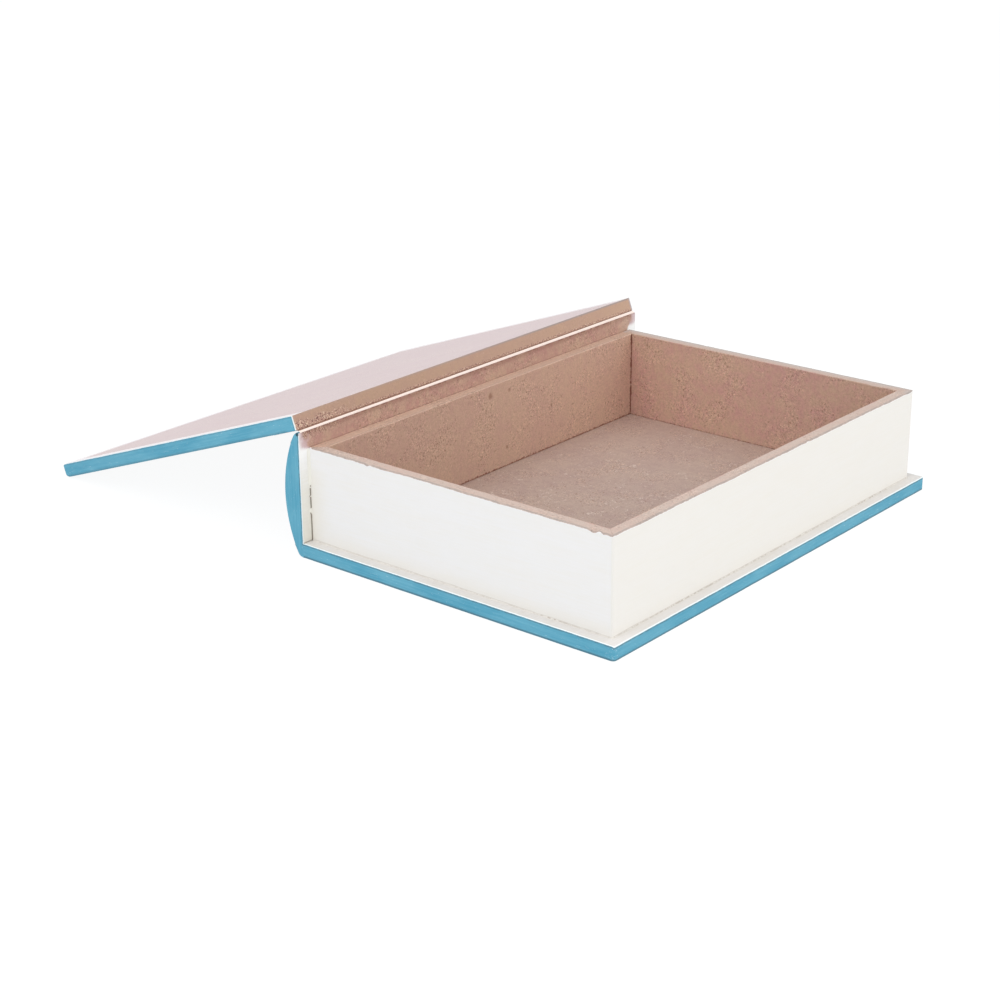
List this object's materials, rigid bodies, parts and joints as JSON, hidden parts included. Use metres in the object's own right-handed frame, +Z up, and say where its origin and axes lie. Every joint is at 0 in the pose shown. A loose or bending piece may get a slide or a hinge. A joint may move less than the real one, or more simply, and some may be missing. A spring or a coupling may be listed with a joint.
{
  "type": "book box",
  "caption": "Keepsake box in the shape of a closed book: an open-topped tray on a back cover, a rounded spine, and a front cover on a cloth hinge, resting open.",
  "frame": {"origin": "middle of the back cover's underside, on the table", "axes": "+X from the spine to the fore-edge, +Y from the tail of the book to its head, +Z up; the front cover rests open on the -X side"},
  "size_m": [0.3021, 0.22, 0.0585],
  "materials": {
    "painted_cover": "teal-blue brushed paint on the outside, off-white margins and bare fibreboard on the inside",
    "painted_spine": "teal-blue brushed paint on the round, bare fibreboard on the flat face",
    "painted_wall": "off-white brushed paint outside, bare fibreboard inside and on the rim",
    "bare_wall": "bare fibreboard",
    "hinge_cloth": "white cotton tape, painted blue on the outside"
  },
  "bodies": {
    "box": {"back_cover": "painted_cover", "spine": "painted_spine", "tail_wall": "painted_wall", "head_wall": "painted_wall", "fore_edge_wall": "painted_wall", "spine_wall": "bare_wall", "hinge_cloth_spine": "hinge_cloth"},
    "lid": {"front_cover": "painted_cover", "hinge_cloth_cover": "hinge_cloth"}
  },
  "joints": [
    {"name": "cover_hinge", "type": "hinge", "parent": "box", "child": "lid", "pos_m": [-0.07665, 0, 0.0522], "axis": [0, 1, 0], "range_deg": [0, 199.9]}
  ]
}
